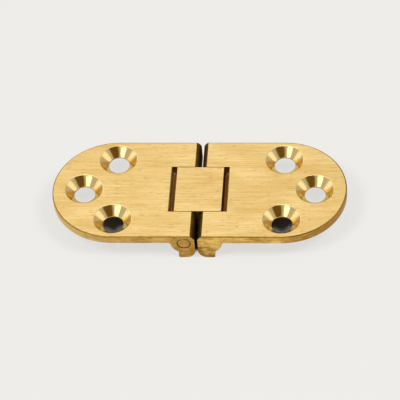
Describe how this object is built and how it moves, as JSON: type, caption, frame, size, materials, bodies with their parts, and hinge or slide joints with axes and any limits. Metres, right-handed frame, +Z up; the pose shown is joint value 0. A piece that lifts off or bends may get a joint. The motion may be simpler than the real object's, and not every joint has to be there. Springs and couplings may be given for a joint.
{
  "type": "card table hinge",
  "caption": "Flush brass card table hinge: round-ended leaves with countersunk screw holes, joined by a short link on pins, that opens flat and shuts face to face.",
  "frame": {"origin": "middle of the joint, on the plane that the feet stand on", "axes": "+X from the joint along the right leaf, +Y along the joint towards the back, +Z up out of the top faces"},
  "size_m": [0.065, 0.028, 0.0068],
  "materials": {
    "leaf_brass": "brushed along the leaves, sawn ends",
    "link_brass": "brushed along the leaves",
    "pin_brass": "drawn rod, faced end"
  },
  "bodies": {
    "left_leaf": {"left_leaf": "leaf_brass", "left_pin": "pin_brass"},
    "link": {"link": "link_brass"},
    "right_leaf": {"right_leaf": "leaf_brass", "right_pin": "pin_brass"}
  },
  "joints": [
    {"name": "left_fold", "type": "hinge", "parent": "left_leaf", "child": "link", "pos_m": [-0.0027, 0, 0.00455], "axis": [0, -1, 0], "range_deg": [0, 90]},
    {"name": "right_fold", "type": "hinge", "parent": "link", "child": "right_leaf", "pos_m": [0.0027, 0, 0.00455], "axis": [0, -1, 0], "range_deg": [0, 90]}
  ]
}
